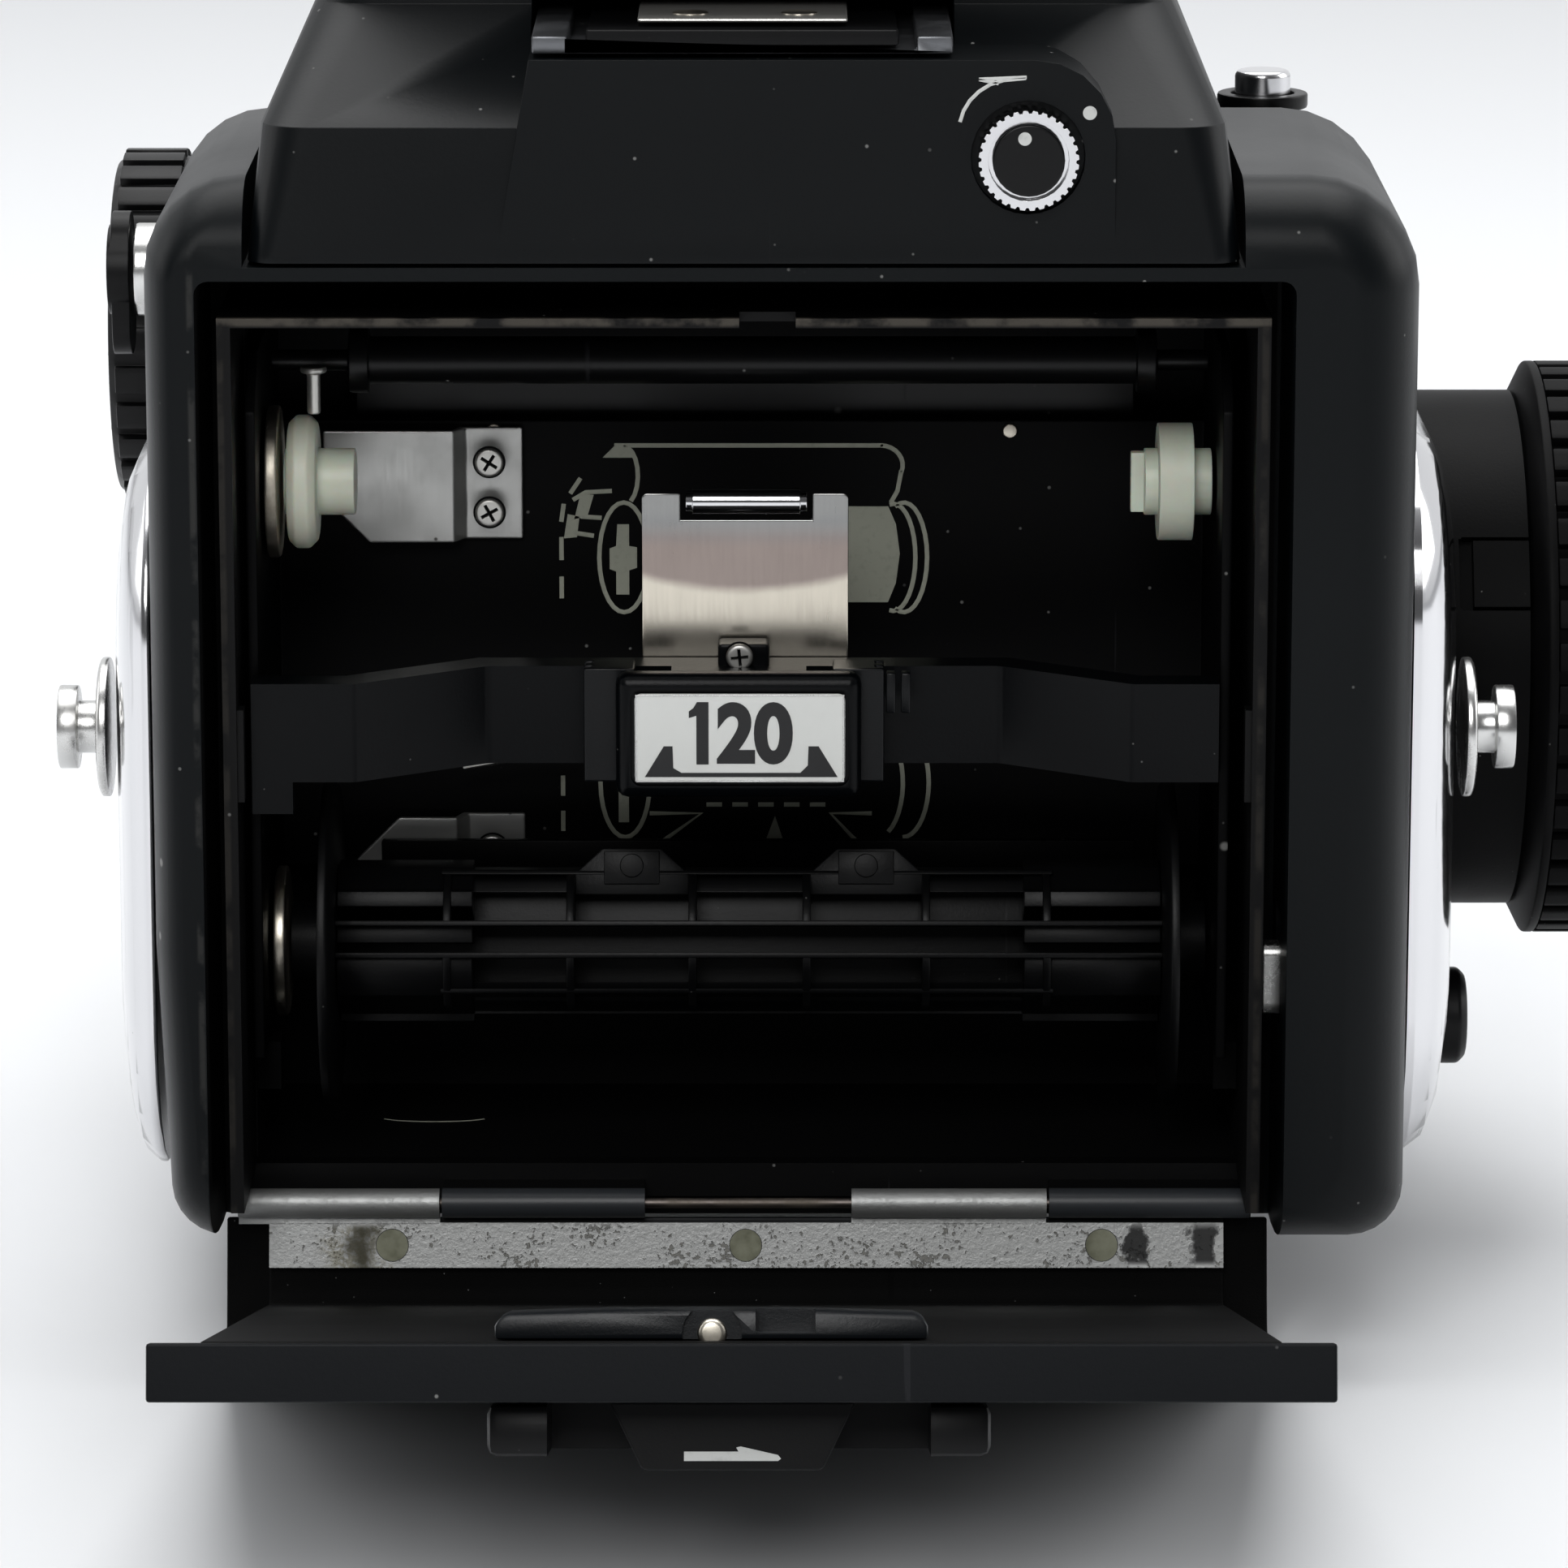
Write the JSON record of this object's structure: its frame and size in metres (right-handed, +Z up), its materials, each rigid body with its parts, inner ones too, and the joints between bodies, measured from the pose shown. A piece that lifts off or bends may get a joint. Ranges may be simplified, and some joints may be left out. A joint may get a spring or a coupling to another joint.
{
  "type": "single-lens reflex camera",
  "caption": "Medium-format single-lens reflex camera with prism finder, open bottom-hinged back door, removable film insert, winding knob and lens.",
  "frame": {"origin": "on the flat underside of the base plate, straight below the point where the optical axis meets the film plane", "axes": "+Z up, +Y forward out of the lens, +X towards the winding knob; -Z is the base plate's outward normal"},
  "size_m": [0.1227, 0.2078, 0.1323],
  "materials": {
    "alloy_casing": "satin black enamel",
    "plastic_housing": "satin black",
    "black_plastic": "satin",
    "black_metal": "black enamel",
    "black_rubber": "matt",
    "curtain_cloth": "matt rubberised cloth",
    "chrome": "polished",
    "bright_steel": "brushed",
    "satin_alloy": "satin",
    "white_plastic": "translucent white",
    "optical_glass": "clear, coated",
    "mirror_coating": "polished"
  },
  "bodies": {
    "camera_body": {"body_shell": "alloy_casing", "base_plate": "black_metal", "tripod_bush": "satin_alloy", "rear_frame": "black_metal", "hinge_pin": "bright_steel", "focusing_screen": "optical_glass", "shutter_curtain": "curtain_cloth", "insert_frame": "black_plastic", "pressure_plate": "black_metal", "insert_bridge": "black_plastic", "size_plate": "satin_alloy", "spring_leaf": "bright_steel", "supply_disc": "bright_steel", "take_up_disc": "bright_steel", "supply_post": "bright_steel", "supply_spring": "bright_steel", "take_up_spring": "bright_steel", "finder_housing": "plastic_housing", "eyepiece_frame": "black_rubber", "eyepiece_glass": "optical_glass", "shoe_rails": "satin_alloy", "shoe_block": "black_plastic", "shoe_sheet": "bright_steel", "side_plate_left": "chrome", "side_plate_right": "chrome", "strap_lug_left": "satin_alloy", "strap_lug_right": "satin_alloy", "lever_collar": "satin_alloy", "winding_collar": "black_plastic", "release_collar": "black_plastic", "lens_mount_ring": "chrome", "lens_barrel": "black_metal"},
    "back_door": {"door_shell": "black_metal", "door_leaf": "satin_alloy", "latch_frame": "black_plastic", "catch_housing": "black_plastic", "catch_pin": "bright_steel"},
    "door_key": {"latch_key": "black_plastic"},
    "left_pinch_key": {"pinch_key_left": "black_plastic"},
    "right_pinch_key": {"pinch_key_right": "black_plastic"},
    "take_up": {"take_up_spool": "black_plastic"},
    "supply_wheel_body": {"supply_wheel": "white_plastic"},
    "supply_key_body": {"supply_key": "white_plastic"},
    "guide_roller_body": {"guide_roller": "black_metal"},
    "leaf_roller_body": {"leaf_roller": "chrome"},
    "winding": {"winding_knob": "black_plastic"},
    "dial": {"speed_dial": "black_plastic"},
    "lever": {"mode_lever": "black_plastic"},
    "release": {"release_button": "chrome"},
    "stop": {"stop_button": "black_plastic"},
    "finder_lock": {"lock_knob": "chrome", "lock_cap": "black_plastic"},
    "feeler": {"feeler_lever": "satin_alloy"},
    "reflex_mirror": {"mirror_frame": "black_metal", "mirror_glass": "mirror_coating"},
    "aperture": {"aperture_ring": "black_metal"},
    "focus": {"focus_ring": "black_rubber"},
    "front_group": {"front_cell": "black_metal", "front_glass": "optical_glass"}
  },
  "joints": [
    {"name": "door_hinge", "type": "hinge", "parent": "camera_body", "child": "back_door", "pos_m": [0, -0.0265, 0.0029], "axis": [-1, 0, 0], "range_deg": [0, 75.2]},
    {"name": "latch_slide", "type": "slide", "parent": "back_door", "child": "door_key", "axis": [1, 0, 0], "range_m": [0, 0.003], "stiffness_N_per_m": 150},
    {"name": "pinch_left", "type": "slide", "parent": "camera_body", "child": "left_pinch_key", "axis": [1, 0, 0], "range_m": [0, 0.0015], "stiffness_N_per_m": 200},
    {"name": "pinch_right", "type": "slide", "parent": "camera_body", "child": "right_pinch_key", "axis": [-1, 0, 0], "range_m": [0, 0.0015], "stiffness_N_per_m": 200},
    {"name": "winding_turn", "type": "hinge", "parent": "camera_body", "child": "winding", "pos_m": [0.0495, 0.013, 0.0375], "axis": [1, 0, 0], "continuous": true},
    {"name": "take_up_turn", "type": "hinge", "parent": "camera_body", "child": "take_up", "pos_m": [0, -0.0184, 0.0213], "axis": [1, 0, 0], "continuous": true},
    {"name": "supply_wheel_turn", "type": "hinge", "parent": "camera_body", "child": "supply_wheel_body", "pos_m": [-0.032, -0.02, 0.0571], "axis": [1, 0, 0], "continuous": true},
    {"name": "supply_key_turn", "type": "hinge", "parent": "camera_body", "child": "supply_key_body", "pos_m": [0.032, -0.02, 0.0571], "axis": [1, 0, 0], "continuous": true},
    {"name": "guide_roller_turn", "type": "hinge", "parent": "camera_body", "child": "guide_roller_body", "pos_m": [0, -0.016, 0.0656], "axis": [1, 0, 0], "continuous": true},
    {"name": "leaf_roller_turn", "type": "hinge", "parent": "camera_body", "child": "leaf_roller_body", "pos_m": [0, -0.02315, 0.0562], "axis": [1, 0, 0], "continuous": true},
    {"name": "dial_turn", "type": "hinge", "parent": "camera_body", "child": "dial", "pos_m": [-0.0438, 0.017, 0.0627], "axis": [-1, 0, 0], "range_deg": [-150, 150]},
    {"name": "lever_turn", "type": "hinge", "parent": "camera_body", "child": "lever", "pos_m": [-0.0449, -0.013, 0.072], "axis": [-1, 0, 0], "range_deg": [0, 45]},
    {"name": "release_press", "type": "slide", "parent": "camera_body", "child": "release", "axis": [0, 0, -1], "range_m": [0, 0.0015], "stiffness_N_per_m": 150},
    {"name": "stop_press", "type": "slide", "parent": "camera_body", "child": "stop", "axis": [-1, 0, 0], "range_m": [0, 0.002], "stiffness_N_per_m": 150},
    {"name": "finder_lock_turn", "type": "hinge", "parent": "camera_body", "child": "finder_lock", "pos_m": [0.0205, -0.038, 0.0841], "axis": [0, 1, 0], "range_deg": [0, 50]},
    {"name": "feeler_swing", "type": "hinge", "parent": "camera_body", "child": "feeler", "pos_m": [0.039, -0.029, 0.0195], "axis": [-1, 0, 0], "range_deg": [0, 12], "stiffness_Nm_per_rad": 0.01},
    {"name": "mirror_swing", "type": "hinge", "parent": "camera_body", "child": "reflex_mirror", "pos_m": [0, 0.0085, 0.0685], "axis": [1, 0, 0], "range_deg": [0, 45]},
    {"name": "aperture_turn", "type": "hinge", "parent": "camera_body", "child": "aperture", "pos_m": [0, 0.0719, 0.04], "axis": [0, 1, 0], "range_deg": [0, 60]},
    {"name": "focus_turn", "type": "hinge", "parent": "camera_body", "child": "focus", "pos_m": [0, 0.0787, 0.04], "axis": [0, 1, 0], "range_deg": [0, 200]},
    {"name": "focus_travel", "type": "slide", "parent": "camera_body", "child": "front_group", "axis": [0, 1, 0], "range_m": [0, 0.005]}
  ],
  "couplings": [
    {"joint": "take_up_turn", "follows": "winding_turn", "ratio": 1},
    {"joint": "focus_turn", "follows": "focus_travel", "rad_per_m": 698}
  ]
}
